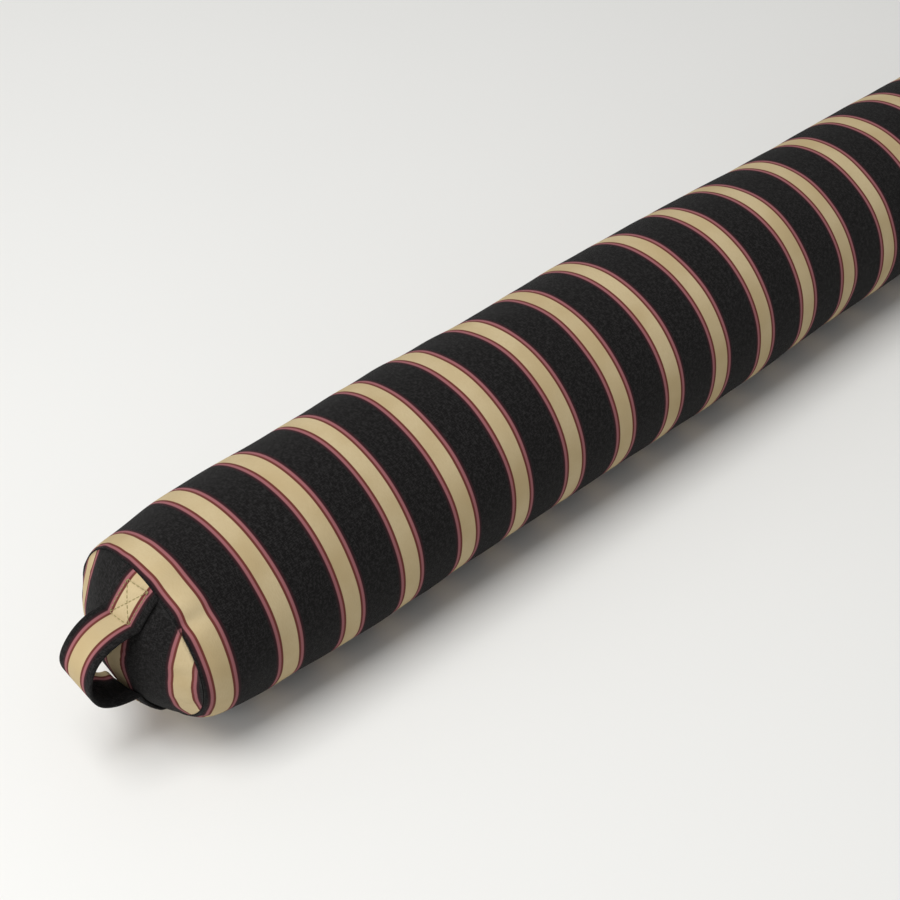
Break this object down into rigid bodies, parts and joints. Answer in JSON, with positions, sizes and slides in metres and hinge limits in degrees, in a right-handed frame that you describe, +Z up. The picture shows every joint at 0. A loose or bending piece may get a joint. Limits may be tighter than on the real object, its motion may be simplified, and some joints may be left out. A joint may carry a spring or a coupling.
{
  "type": "door draught stopper",
  "caption": "Long stuffed ticking tube with puffed round end panels, a stitched strap loop on one end and a zip along the back, for laying against a door.",
  "frame": {"origin": "middle of the flat strip that the cushion lies on, half way between its two end seams", "axes": "+X along the tube, away from the loop; +Z up; +Y towards the side with the zip"},
  "size_m": [0.97, 0.1245, 0.117],
  "materials": {
    "ticking": "matt woven cotton, charcoal ground with cream bands edged in rose and burgundy",
    "calico": "matt unbleached plain weave",
    "fibre": "loose white fibre",
    "dark_thread": "black polyester sewing thread",
    "olive_thread": "olive sewing thread, slight sheen",
    "zip_cloth": "black herringbone tape",
    "zip_nylon": "black moulded nylon coil",
    "zip_metal": "dark nickel, worn bright at the edges"
  },
  "bodies": {
    "cushion": {"cover_body": "ticking", "near_end_panel": "ticking", "far_end_panel": "ticking", "near_end_seam_stitch": "dark_thread", "far_end_seam_stitch": "dark_thread", "back_seam_near_stitch": "dark_thread", "back_seam_far_stitch": "dark_thread", "loop_upper_tab": "ticking", "loop_lower_tab": "ticking", "upper_box_stitch": "olive_thread", "lower_box_stitch": "olive_thread", "zip_upper_tape": "zip_cloth", "zip_lower_tape": "zip_cloth", "zip_upper_coil": "zip_nylon", "zip_lower_coil": "zip_nylon", "zip_top_stop": "zip_metal", "zip_bottom_stop": "zip_metal", "zip_topstitch": "dark_thread", "liner_tube": "calico", "liner_near_end": "calico", "liner_far_end": "calico", "filling": "fibre"},
    "loop": {"carry_loop": "ticking"},
    "slider": {"zip_slider": "zip_metal"},
    "pull": {"zip_pull": "zip_metal"}
  },
  "joints": [
    {"name": "loop_swing", "type": "hinge", "parent": "cushion", "child": "loop", "pos_m": [-0.46908, -0.00522, 0.06584], "axis": [0.1385, 0.0004, 0.9904], "range_deg": [-20, 20], "stiffness_Nm_per_rad": 0.005},
    {"name": "zip_slide", "type": "slide", "parent": "cushion", "child": "slider", "axis": [1, 0, 0], "range_m": [0, 0.4838]},
    {"name": "pull_flip", "type": "hinge", "parent": "slider", "child": "pull", "pos_m": [-0.2419, 0.06258, 0.0658], "axis": [0, -0.1392, 0.9903], "range_deg": [0, 175]}
  ]
}
